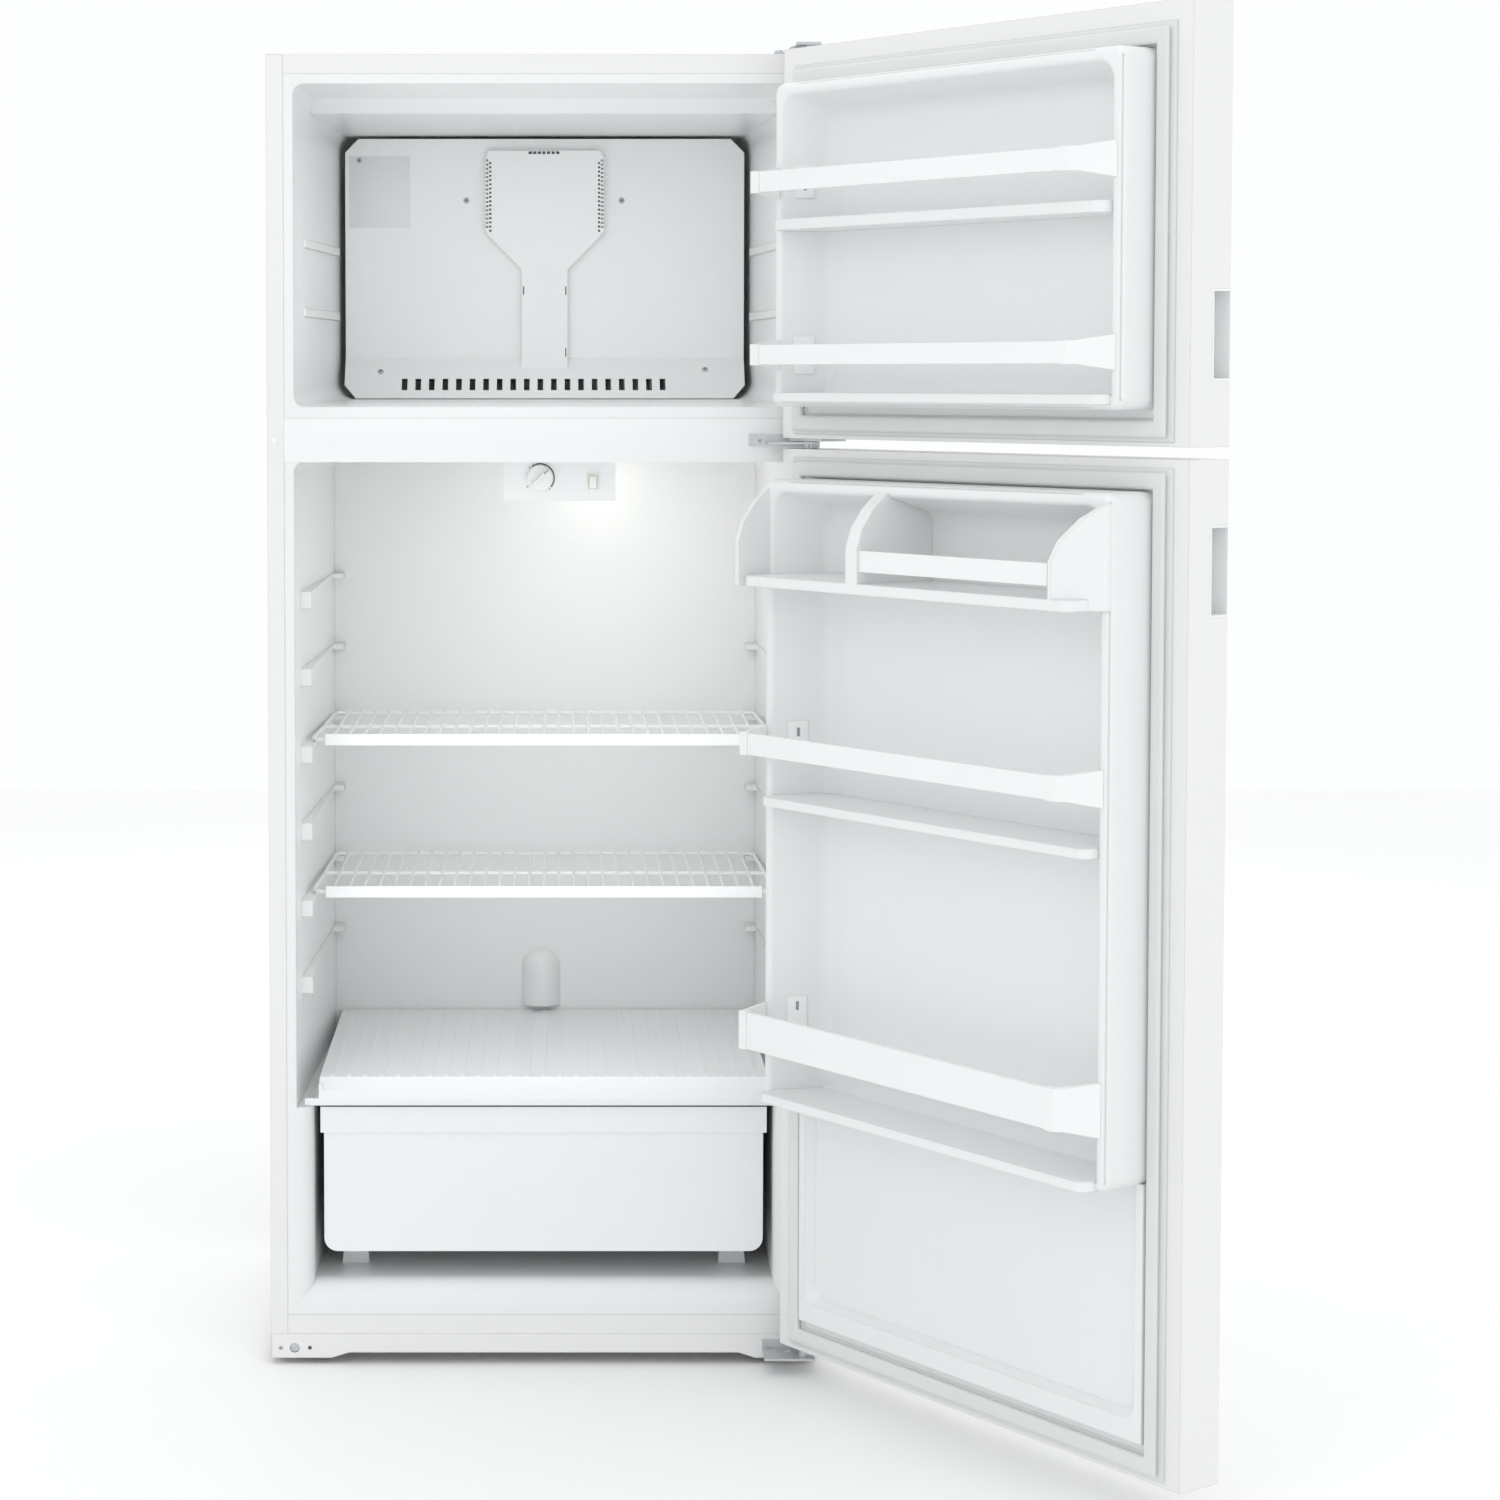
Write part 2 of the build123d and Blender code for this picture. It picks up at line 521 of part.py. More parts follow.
with BuildPart() as roller_brackets:
    for place, (x, y) in ROLLERS.items():
        roof = BASE_TOP if y < 100 else BASE_TOP + 2
        block((x - 14, x + 14), (y - 22, y + 22), (roof - 2, roof))
        for side in (-1, 1):
            block((x + side * 13 - 1, x + side * 13 + 1), (y - 22, y + 22), (12, roof))
        rod((x - 14, y, ROLLER_R), (1, 0, 0), 4, 28)
    for side in (-1, 1):
        block(sorted((side * 304, side * 333)), (48, 52), (14, BASE_TOP))
save(roller_brackets, "roller_brackets")

with BuildPart() as adjusting_screws:
    for x in (-324.7, 324.7):
        rod((x, 2, 21.2), (0, 1, 0), 5.6, 4)
        rod((x, 6, 21.2), (0, 1, 0), 3, 42)
        block((x - 4.5, x + 4.5), (1.5, 2.8), (20.4, 22), mode=Mode.SUBTRACT)
save(adjusting_screws, "adjusting_screws")

for place, (x, y) in ROLLERS.items():
    with BuildPart() as roller:
        rod((x - 11, y, ROLLER_R), (1, 0, 0), ROLLER_R, 22)
        rod((x - 12, y, ROLLER_R), (1, 0, 0), 4 + PIN_FIT, 24, mode=Mode.SUBTRACT)
    save(roller, place + "_roller")

with BuildPart() as compressor:
    rod((-70, 478, 62), (0, 0, 1), 68, 126)
    fillet(compressor.edges().filter_by(GeomType.CIRCLE), 34)
    block((-150, 10), (450, 506), (56, 64))
    for x in (-142, 2):
        for y in (456, 500):
            rod((x, y, BASE_TOP + 4), (0, 0, 1), 6, 13)
save(compressor, "compressor")

with BuildPart() as relay_cover:
    block((-2, 34), (448, 508), (98, 160))
save(relay_cover, "relay_cover")

with BuildPart() as drain_pan:
    block((80, 320), (405, 545), (BASE_TOP + 4, 76))
    block((82.5, 317.5), (407.5, 542.5), (BASE_TOP + 6.5, 80), mode=Mode.SUBTRACT)
save(drain_pan, "drain_pan")

CONDENSER_Y = 590.0
run = [(-262, CONDENSER_Y, 1400)]
for row in range(12):
    side = 1 if row % 2 == 0 else -1
    run += [(side * 280, CONDENSER_Y, 1400 - 86 * row), (side * 280, CONDENSER_Y, 1314 - 86 * row)]
run += [(-200, CONDENSER_Y, 368)]
serpent = tube(run, 30, 2.6)
with BuildPart() as condenser:
    add(serpent)
    for step in range(14):
        rod((-247 + 38 * step, CONDENSER_Y + 3.2, 350), (0, 0, 1), 0.9, 1070)
    for x in (-247, 247):
        for z in (540, 1230):
            block((x - 9, x + 9), (BODY_DEPTH - SHEET, CONDENSER_Y + 3.4), (z - 12, z + 12))
save(condenser, "condenser")

suction = tube([(-70, 478, 188), (-70, 478, 214), (-240, 478, 214), (-240, 478, 291.5)], 16, 3.2)
discharge = tube([(-92, 490, 188), (-92, 490, 206), (-92, CONDENSER_Y, 206), (-92, CONDENSER_Y, 300),
                  (-160, CONDENSER_Y, 300), (-160, CONDENSER_Y, 368), (-200, CONDENSER_Y, 368)], 14, 2.4)
liquid = tube([(-262, CONDENSER_Y, 1403), (-262, CONDENSER_Y, 1440), (-320, CONDENSER_Y, 1440),
               (-320, CONDENSER_Y, 230), (-320, 530, 230), (-200, 530, 230), (-200, 530, 291.5)], 12, 2.4)
with BuildPart() as refrigerant_tubes:
    add(suction)
    add(discharge)
    add(liquid)
save(refrigerant_tubes, "refrigerant_tubes")

with BuildPart() as cord_inlet:
    rod((-300, BODY_DEPTH - SHEET, 330), (0, 1, 0), 12, 6)
    rod((-300, BODY_DEPTH - 2 * SHEET, 330), (0, 1, 0), 7, 2)
    rod((-300, BODY_DEPTH - 6, 330), (0, 1, 0), 4, 20, mode=Mode.SUBTRACT)
save(cord_inlet, "cord_inlet")

# ---------------------------------------------------------------- doors, drawn closed
GAP_FACE = DOOR_BACK - DOOR_LINER
SKIN = DOOR_LINER


def across(start, end):
    """Limits on X for a span measured from a door's hinge edge."""
    return (SIDE - end, SIDE - start)


def door_outline(inset):
    """Plan of a door slab with its two outer corners rounded, set in by a distance."""
    with BuildSketch() as plan:
        with Locations((0, (DOOR_FRONT + DOOR_BACK) / 2)):
            Rectangle(WIDTH - 2 * inset, DOOR_THICKNESS - 2 * inset)
        fillet(plan.vertices().group_by(Axis.Y)[0], 12 - inset)
    return plan.sketch


def door_panel(z, rim, handle):
    """Folded steel outer skin, open at the back, with a slot for the handle insert."""
    with BuildPart() as panel:
        with BuildSketch(Plane.XY.offset(z[0])):
            add(door_outline(0))
        extrude(amount=z[1] - z[0])
        with BuildSketch(Plane.XY.offset(z[0] + SHEET)):
            add(door_outline(SHEET))
        extrude(amount=z[1] - z[0] - 2 * SHEET, mode=Mode.SUBTRACT)
        block(across(rim[0], WIDTH - rim[0]), (DOOR_BACK - 3, DOOR_BACK + 3), (z[0] + rim[1],
                                                                               z[1] - rim[2]), mode=Mode.SUBTRACT)
        block((-SIDE - 1, -SIDE + 7), (-77, -46), handle, mode=Mode.SUBTRACT)
        rod((HINGE_X, HINGE_Y, z[0] - 5), (0, 0, 1), PIN_R + 0.6, z[1] - z[0] + 10, mode=Mode.SUBTRACT)
    return panel


def door_bushings(z):
    """Plastic hinge inserts in the top and bottom of a door, bored for the pins."""
    with BuildPart() as bushings:
        for ends in ((z[0] + SHEET, z[0] + 26), (z[1] - 26, z[1] - SHEET)):
            block((324, SIDE - SHEET), (-60, GAP_FACE), ends)
        rod((HINGE_X, HINGE_Y, z[0] - 5), (0, 0, 1), PIN_R + PIN_FIT, z[1] - z[0] + 10, mode=Mode.SUBTRACT)
    return bushings


def handle_insert(handle):
    """Moulded cup let into the free edge of a door."""
    with BuildPart() as insert:
        block((-SIDE, -328), (-77, -46), handle)
        block((-SIDE - 1, -330.5), (-74.5, -48.5), (handle[0] + 2.5, handle[1] - 2.5), mode=Mode.SUBTRACT)
        with BuildSketch(Plane.XY.offset(handle[0])):
            add(door_outline(0))
        extrude(amount=handle[1] - handle[0], mode=Mode.INTERSECT)
    return insert


def slab_foam(z, handle):
    """Flat blocks of foam that fill a door slab around the hinge inserts and the handle cup."""
    low, high = z[0] + SHEET, z[1] - SHEET
    left, right, face, back = -SIDE + SHEET, SIDE - SHEET, DOOR_FRONT + SHEET, GAP_FACE
    with BuildPart() as slab:
        block((-327.7, 323.7), (face, back), (low, high))
        run_z([(324, back), (324, face), (right - 11.5, face), (right, face + 11.5), (right, back)],
              (low + 25.3, high - 25.3))
        for ends in ((low, low + 25), (high - 25, high)):
            run_z([(324, -60.3), (324, face), (right - 11.5, face), (right, face + 11.5), (right, -60.3)],
                  ends)
        for ends in ((low, handle[0] - 0.3), (handle[1] + 0.3, high)):
            run_z([(-328, back), (-328, face), (left + 11.5, face), (left, face + 11.5), (left, back)],
                  ends)
        block((left, -328), (-45.7, back), handle)
    return slab


def gasket_ring(outer, inner):
    """Magnetic seal round the opening, standing just short of the closed cabinet face."""
    with BuildPart() as ring:
        with BuildSketch(at_depth(DOOR_BACK)):
            with Locations((0, (outer[0] + outer[1]) / 2)):
                RectangleRounded(2 * (DIKE_X + GASKET_W), outer[1] - outer[0], 12)
            with Locations((0, (inner[0] + inner[1]) / 2)):
                Rectangle(2 * DIKE_X + 0.6, inner[1] - inner[0], mode=Mode.SUBTRACT)
        extrude(amount=-11.4)
        for side in (-1, 1):
            x = side * (DIKE_X + GASKET_W / 2)
            block((x - 5, x + 5), (DOOR_BACK + 3, DOOR_BACK + 8), (inner[0], inner[1]), mode=Mode.SUBTRACT)
    return ring


def rail(span, y, z):
    """Flat shelf bar with its edges rolled inwards."""
    with BuildPart() as bar:
        block(across(*span), (y - 2.5, y), z)
        for edge in ((z[0], z[0] + 2), (z[1] - 2, z[1])):
            block(across(*span), (y - 6, y - 2.5), edge)
    return bar.part


def hinge_bracket(span, crest, y, z, flare):
    """End support of a bar on the hinge side: a cap at the bar and a cheek back to the liner."""
    with BuildPart() as bracket:
        run_x([(crest + 0.3, z[0] - flare), (y - 6, z[0] - 1), (y + 1.5, z[0] - 1), (y + 1.5, z[1] + 1),
               (y - 6, z[1] + 1), (crest + 0.3, z[1] + flare)], across(span[0], span[0] + 4))
        block(across(*span), (y - 8, y + 1.5), (z[0] - 1, z[1] + 1))
    return bracket.part


def free_bracket(start, crest, y, z, flare):
    """End support of a bar on the free side, slanting back to the liner."""
    edge = SIDE - start
    with BuildPart() as bracket:
        run_z([(edge, y + 1.5), (edge - 15, y + 1.5), (-298, crest + 0.3), (-292, crest + 0.3),
               (edge - 11, y - 8),
               (edge, y - 8)], (z[0] - flare, z[1] + flare))
        run_x([(crest - 1, z[0] - flare), (y - 8, z[0] - 1), (y + 3, z[0] - 1), (y + 3, z[1] + 1), (y - 8,
                                                                                                    z[1] + 1),
               (crest - 1, z[1] + flare)], (-310, -230), mode=Mode.INTERSECT)
    return bracket.part


CREST_OUTER = 8.0
CREST_INNER = 6.0


def soften_crest(liner, radius):
    """Rounds a door liner's raised crest on its outside or, above the lowest shelf, round its recess."""
    crest = liner.faces().filter_by(Axis.Y).sort_by(Axis.Y)[-1]
    inner = crest.inner_wires()
    fillet(inner[0].edges().sort_by(Axis.Z)[1:] if inner else crest.edges(), radius)


# ---------------------------------------------------------------- freezer door
FREEZER_HANDLE = (1282.5, 1384.0)
FREEZER_DIKE = (1250.0, 1651.0)
FREEZER_CREST = DOOR_BACK + 57
save_on_door(door_panel(FREEZER_DOOR, (22.6, 5, 22.6), FREEZER_HANDLE), "freezer_door_panel")
save_on_door(door_bushings(FREEZER_DOOR), "freezer_door_bushings")
save_on_door(handle_insert(FREEZER_HANDLE), "freezer_handle_insert")
save_on_door(gasket_ring((1214, 1678), FREEZER_DIKE), "freezer_door_gasket")

freezer_recess = pocket(((-290.5, 290.5), (1266, 1636)), ((-262, 262), (1264, 1616)), (FREEZER_CREST,
                                                                                       DOOR_BACK),
                        (22, 36), rows=(-1,), bottom=18)
freezer_slab = slab_foam(FREEZER_DOOR, FREEZER_HANDLE)
with BuildPart() as freezer_dike_foam:
    low, high, top = FREEZER_DIKE[0] + SKIN, FREEZER_DIKE[1] - SKIN, FREEZER_CREST - SKIN
    for s in (-1, 1):
        run_z([(s * 303, GAP_FACE + 0.3), (s * 303, top), (s * 293.6, top), (s * 268, GAP_FACE + 0.3)],
              (low + 8, high - 8))
    run_x([(GAP_FACE + 0.3, high), (top, high), (top, 1639), (GAP_FACE + 0.3, 1618)], (-259.7, 259.7))
    run_x([(GAP_FACE + 0.3, low), (top, low), (top, 1263), (GAP_FACE + 0.3, 1261)], (-259.7, 259.7))
with BuildPart() as freezer_door_foam:
    add(freezer_slab.part)
    add(freezer_dike_foam.part)
save_on_door(freezer_door_foam, "freezer_door_foam")

with BuildPart() as freezer_door_liner:
    block(across(20, 691), (GAP_FACE, DOOR_BACK - SHEET), (FREEZER_DOOR[0] + 4, FREEZER_DOOR[1] - 20))
    block(across(22.6, 688.4), (GAP_FACE, DOOR_BACK), (FREEZER_DOOR[0] + 5, FREEZER_DOOR[1] - 22.6))
    with BuildSketch(at_depth(DOOR_BACK)) as face:
        with Locations((0, (FREEZER_DIKE[0] + FREEZER_DIKE[1]) / 2)):
            RectangleRounded(2 * DIKE_X, FREEZER_DIKE[1] - FREEZER_DIKE[0], 14)
    extrude(face.sketch, amount=-57)
    soften_crest(freezer_door_liner, CREST_OUTER)
    add(freezer_recess, mode=Mode.SUBTRACT)
    soften_crest(freezer_door_liner, CREST_INNER)
    for z, half in (((1468, 1481.5), 288), ((1256, 1267.5), 290)):
        with BuildSketch(Plane.XY.offset(z[0])) as face:
            with Locations((0, (GAP_FACE + DOOR_BACK + 75) / 2)):
                Rectangle(2 * half, DOOR_BACK + 75 - GAP_FACE)
            fillet(face.vertices().group_by(Axis.Y)[-1], 12)
        extrude(face.sketch, amount=z[1] - z[0])
    add(freezer_door_foam.part, mode=Mode.SUBTRACT)
save_on_door(freezer_door_liner, "freezer_door_liner")

FREEZER_BARS = ((1514.5, 1539.5), (1302, 1326))
with BuildPart() as freezer_door_rails:
    for z in FREEZER_BARS:
        add(rail((76.2, 606.8), 88, z))
save_on_door(freezer_door_rails, "freezer_door_rails")
with BuildPart() as freezer_rail_brackets:
    for z in FREEZER_BARS:
        add(hinge_bracket((60, 76), FREEZER_CREST, 88, z, 7))
        add(free_bracket(607, FREEZER_CREST, 88, z, 8))
save_on_door(freezer_rail_brackets, "freezer_rail_brackets")

with BuildPart() as freezer_door_stop:
    block((290.5, 354), (-62, -22), (1205.2, FREEZER_DOOR[0]))
    rod((HINGE_X, HINGE_Y, 1200), (0, 0, 1), PIN_R + 0.8, 20, mode=Mode.SUBTRACT)
save_on_door(freezer_door_stop, "freezer_door_stop")

# ---------------------------------------------------------------- fridge door
FRIDGE_HANDLE = (1020.0, 1122.0)
FRIDGE_DIKE = (378.0, 1159.0)
FRIDGE_CREST = DOOR_BACK + 70
LOW_CREST = DOOR_BACK + 10
save_on_door(door_panel(FRIDGE_DOOR, (22.6, 5, 11), FRIDGE_HANDLE), "fridge_door_panel")
save_on_door(door_bushings(FRIDGE_DOOR), "fridge_door_bushings")
save_on_door(handle_insert(FRIDGE_HANDLE), "fridge_handle_insert")
save_on_door(gasket_ring((46, 1184), (83, 1159)), "fridge_door_gasket")

fridge_recess = pocket(((-290.5, 290.5), (388, 1144)), ((-260, 260), (386, 1122)), (FRIDGE_CREST,
                                                                                    DOOR_BACK),
                       (22, 36), rows=(-1,), bottom=20)
fridge_slab = slab_foam(FRIDGE_DOOR, FRIDGE_HANDLE)
with BuildPart() as fridge_dike_foam:
    low, high, top = FRIDGE_DIKE[0] + SKIN, FRIDGE_DIKE[1] - SKIN, FRIDGE_CREST - SKIN
    for s in (-1, 1):
        run_z([(s * 303, GAP_FACE + 0.3), (s * 303, top), (s * 293.6, top), (s * 268, GAP_FACE + 0.3)],
              (low + 8, high - 8))
    run_x([(GAP_FACE + 0.3, high), (top, high), (top, 1147), (GAP_FACE + 0.3, 1124)], (-259.7, 259.7))
with BuildPart() as fridge_door_foam:
    add(fridge_slab.part)
    add(fridge_dike_foam.part)
save_on_door(fridge_door_foam, "fridge_door_foam")

low_recess = pocket(((-293, 293), (108, 376)), ((-284, 284), (116, 376)), (LOW_CREST, DOOR_BACK - 0.5),
                    (16, 18),
                    rows=(0,))
with BuildPart() as fridge_door_liner:
    block(across(20, 691), (GAP_FACE, DOOR_BACK - SHEET), (FRIDGE_DOOR[0] + 4, FRIDGE_DOOR[1] - 9))
    block(across(22.6, 688.4), (GAP_FACE, DOOR_BACK), (FRIDGE_DOOR[0] + 5, FRIDGE_DOOR[1] - 11))
    block((-DIKE_X, DIKE_X), (DOOR_BACK, LOW_CREST), (83, 380))
    with BuildSketch(at_depth(DOOR_BACK)) as face:
        with Locations((0, (FRIDGE_DIKE[0] + FRIDGE_DIKE[1]) / 2)):
            RectangleRounded(2 * DIKE_X, FRIDGE_DIKE[1] - FRIDGE_DIKE[0], 14)
    extrude(face.sketch, amount=-70)
    soften_crest(fridge_door_liner, CREST_OUTER)
    add(fridge_recess, mode=Mode.SUBTRACT)
    soften_crest(fridge_door_liner, CREST_INNER)
    add(low_recess, mode=Mode.SUBTRACT)
    for z, depth in (((752, 763.5), 90), ((378, 390), 90), ((1028, 1041), 118)):
        with BuildSketch(Plane.XY.offset(z[0])) as face:
            with Locations((0, (GAP_FACE + DOOR_BACK + depth) / 2)):
                Rectangle(2 * 289, DOOR_BACK + depth - GAP_FACE)
            fillet(face.vertices().group_by(Axis.Y)[-1], 12)
        extrude(face.sketch, amount=z[1] - z[0])
    arch = [(DOOR_BACK, 1041), (106, 1041), (106, 1083), (98, 1106), (80, 1130), (FRIDGE_CREST, 1148),
            (DOOR_BACK, 1148)]
    run_x(arch, across(265, 287))
    arch[-1] = (FRIDGE_CREST - 10, 1148)
    arch[0] = (FRIDGE_CREST - 10, 1028)
    arch[1] = (106, 1028)
    run_x(arch, across(52, 60))
    with BuildSketch(Plane.XY.offset(1028)) as face:
        with BuildLine():
            Polyline((-256, 106), (-262, 106), (-304, 58), (-304, 50), (-296, 50), (-296, 58), close=True)
        make_face()
    cheek = extrude(face.sketch, amount=120, mode=Mode.PRIVATE)
    with BuildPart() as free_cheek:
        add(cheek)
        run_x(arch, (-320, -240), mode=Mode.INTERSECT)
    add(free_cheek.part)
    add(fridge_door_foam.part, mode=Mode.SUBTRACT)
save_on_door(fridge_door_liner, "fridge_door_liner")

FRIDGE_BARS = ((817, 843.5, 68, 98), (447, 493, 68, 98))
with BuildPart() as fridge_door_rails:
    for low, high, start, y in FRIDGE_BARS:
        add(rail((start + 0.2, 604.8), y, (low, high)))
    add(rail((287.3, 611.5), 103, (1055.5, 1080.5)))
save_on_door(fridge_door_rails, "fridge_door_rails")
with BuildPart() as fridge_rail_brackets:
    for low, high, start, y in FRIDGE_BARS:
        add(hinge_bracket((start - 14, start), FRIDGE_CREST, y, (low, high), 7))
        add(free_bracket(605, FRIDGE_CREST, y, (low, high), 8))
save_on_door(fridge_rail_brackets, "fridge_rail_brackets")
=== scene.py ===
"""Top freezer refrigerator with both doors open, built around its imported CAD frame. Lengths are in metres."""

import math

import bmesh
import bpy
from mathutils import Matrix, Vector


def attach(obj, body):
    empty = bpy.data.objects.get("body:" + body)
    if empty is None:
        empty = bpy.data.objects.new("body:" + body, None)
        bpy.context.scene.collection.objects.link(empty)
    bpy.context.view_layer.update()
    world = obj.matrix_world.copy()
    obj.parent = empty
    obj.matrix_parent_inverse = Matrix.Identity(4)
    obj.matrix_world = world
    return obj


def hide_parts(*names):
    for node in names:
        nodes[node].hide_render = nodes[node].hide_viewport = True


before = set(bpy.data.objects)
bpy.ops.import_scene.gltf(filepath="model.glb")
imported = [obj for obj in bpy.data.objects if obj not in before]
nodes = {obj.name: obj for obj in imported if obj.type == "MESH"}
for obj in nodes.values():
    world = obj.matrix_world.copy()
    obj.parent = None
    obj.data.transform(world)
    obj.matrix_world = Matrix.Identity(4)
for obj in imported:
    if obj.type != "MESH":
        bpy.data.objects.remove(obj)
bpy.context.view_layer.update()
bpy.ops.object.select_all(action="DESELECT")


# ---------------------------------------------------------------- enamelled steel
# The cabinet and both door skins are folded sheet steel, sprayed with white enamel and baked. The coat gives a
# soft, even gloss with a very fine ripple, and the sheet's own flatness shows as broad, faint waves.
def linear(code, alpha=1.0):
    """An sRGB hex colour as the linear values that a shader wants."""
    values = [int(code[i:i + 2], 16) / 255 for i in (0, 2, 4)]
    return [v / 12.92 if v <= 0.04045 else ((v + 0.055) / 1.055) ** 2.4 for v in values] + [alpha]


def node(tree, kind, settings=None, links=None, **sockets):
    """Adds a node: its own settings, its socket values, and what its sockets are linked from."""
    made = tree.nodes.new(kind)
    for name, value in (settings or {}).items():
        setattr(made, name, value)
    for name, value in sockets.items():
        made.inputs[name.replace("_", " ")].default_value = value
    for name, source in (links or {}).items():
        tree.links.new(source, made.inputs[name])
    return made


GRAIN_DEPTH = 0.25  # height of a grain, as a share of its size


def finish_of(name, colour, shade, roughness, rough_swing, grain, bump, metallic=0.0, ior=1.5, broad=3.0, edge=0.0):
    """A surface whose colour and gloss drift a little, with a fine grain of a stated size and softened edges."""
    material = bpy.data.materials.new(name)
    material.use_nodes = True
    tree = material.node_tree
    body = tree.nodes["Principled BSDF"]
    body.inputs["Metallic"].default_value = metallic
    body.inputs["IOR"].default_value = ior
    place = node(tree, "ShaderNodeTexCoord").outputs["Object"]
    drift = node(tree, "ShaderNodeTexNoise", links={"Vector": place}, Scale=broad, Detail=3.0, Roughness=0.55)
    tint = node(tree, "ShaderNodeMix", {"data_type": "RGBA"}, {0: drift.outputs[0]})
    tint.inputs[6].default_value = linear(colour)
    tint.inputs[7].default_value = linear(shade)
    tree.links.new(tint.outputs[2], body.inputs["Base Color"])
    gloss = node(tree, "ShaderNodeMapRange", links={"Value": drift.outputs[0]})
    gloss.inputs["To Min"].default_value = roughness - rough_swing
    gloss.inputs["To Max"].default_value = roughness + rough_swing
    tree.links.new(gloss.outputs[0], body.inputs["Roughness"])
    fine = node(tree, "ShaderNodeTexNoise", links={"Vector": place}, Scale=1.0 / grain, Detail=2.0, Roughness=0.5)
    relief = node(tree, "ShaderNodeBump", links={"Height": fine.outputs[0]}, Strength=bump,
                  Distance=grain * GRAIN_DEPTH)
    if edge:
        rounded = node(tree, "ShaderNodeBevel", {"samples": 2}, Radius=edge)
        tree.links.new(rounded.outputs[0], relief.inputs["Normal"])
    tree.links.new(relief.outputs[0], body.inputs["Normal"])
    return material


def repaint(names, material):
    """Gives CAD nodes a material in place of their plain one."""
    for name in names:
        slots = nodes[name].data.materials
        slots.clear()
        slots.append(material)


white_enamel = finish_of("white_baked_enamel", "ECECEC", "EAEAEA", 0.30, 0.01, 0.0016, 0.03, broad=1.6,
                         edge=0.0015)
repaint(["left_side_panel", "right_side_panel", "top_panel", "kick_panel", "bottom_panel", "freezer_door_panel",
         "fridge_door_panel"], white_enamel)

# ---------------------------------------------------------------- back and base
# The back panel, the machine base and the roller brackets are hot-dip galvanised sheet, left bare. The zinc is a
# dull grey with a soft spangle, drawn larger than the real one so that it shows.
galvanised = finish_of("galvanised_sheet", "A7ABAD", "8E9396", 0.42, 0.06, 0.004, 0.06, metallic=0.8, broad=14.0)
repaint(["back_panel", "machine_base", "roller_brackets"], galvanised)

# ---------------------------------------------------------------- liners
# Both compartments and the inside of each door are sheets of high-impact polystyrene drawn over a mould. The
# plastic is white with a faint cool cast, a satin gloss and the soft orange peel of the drawn sheet.
drawn_polystyrene = finish_of("drawn_white_polystyrene", "EEEFEF", "E9EBEB", 0.33, 0.04, 0.0028, 0.07, ior=1.55,
                              broad=2.5, edge=0.0022)
repaint(["freezer_liner", "fridge_liner", "freezer_door_liner", "fridge_door_liner"], drawn_polystyrene)

# ---------------------------------------------------------------- moulded trim
# The covers, the control housing, the door bars with their brackets, the hinge inserts and the handle cups are
# injection-moulded white ABS, glossier and smoother than the drawn liners.
moulded_abs = finish_of("moulded_white_abs", "F3F4F4", "EEF0F0", 0.30, 0.04, 0.0012, 0.08, ior=1.53, broad=6.0)
repaint(["mullion_cover", "hole_plugs", "evaporator_cover", "air_duct_cover", "control_housing", "thermostat_knob",
         "light_switch", "evaporator_cover_screws", "freezer_door_bushings", "fridge_door_bushings",
         "freezer_handle_insert", "fridge_handle_insert", "freezer_door_rails", "fridge_door_rails",
         "freezer_rail_brackets", "fridge_rail_brackets"], moulded_abs)

# ---------------------------------------------------------------- foam
# Polyurethane foam is blown between the steel and the liners and sets there. It is pale yellow, matt and full of
# fine cells, and shows only at the back, beside the machine space.
blown_foam = finish_of("blown_polyurethane_foam", "E6D9A8", "D8C88F", 0.9, 0.04, 0.002, 0.5, broad=30.0)
repaint(["foam_insulation", "freezer_door_foam", "fridge_door_foam"], blown_foam)

# ---------------------------------------------------------------- hinges and screws
# The hinge plates, the door stop and the screws are pressed or turned steel with a thin bright zinc plating, which
# gives a pale, slightly brushed metal.
plain_steel = finish_of("plated_grey_steel", "D6D8D9", "BDC0C2", 0.30, 0.06, 0.0009, 0.12, metallic=0.9, broad=40.0)
repaint(["top_hinge", "centre_hinge", "bottom_hinge", "hinge_screws", "adjusting_screws", "freezer_door_stop"],
        plain_steel)

# ---------------------------------------------------------------- cooling circuit
# The compressor's pressed shell and the wire condenser are steel in black enamel. The tubes that join them are bare
# drawn copper, and the evaporator behind the freezer's back cover is rolled aluminium.
black_enamel = finish_of("black_baked_enamel", "1A1B1C", "232425", 0.35, 0.05, 0.001, 0.08, broad=8.0)
repaint(["compressor", "condenser"], black_enamel)
bare_copper = finish_of("drawn_copper_tube", "B87350", "8E5236", 0.32, 0.08, 0.001, 0.05, metallic=1.0, broad=25.0)
repaint(["refrigerant_tubes"], bare_copper)
rolled_aluminium = finish_of("rolled_aluminium_fins", "C9CCCE", "B5B9BB", 0.36, 0.05, 0.0008, 0.08, metallic=1.0,
                             broad=30.0)
repaint(["evaporator_coil"], rolled_aluminium)

# ---------------------------------------------------------------- black mouldings
# The rollers, the fan with its motor, the thermostat, the relay cover, the drain pan and the cord gland are moulded
# black nylon, satin, with a fine spark-eroded grain.
black_nylon = finish_of("moulded_black_nylon", "1C1D1E", "27282A", 0.5, 0.06, 0.0008, 0.15, broad=20.0)
repaint(["thermostat", "relay_cover", "drain_pan", "cord_inlet", "evaporator_fan", "evaporator_fan_motor",
         "front_left_roller", "front_right_roller", "rear_left_roller", "rear_right_roller"], black_nylon)

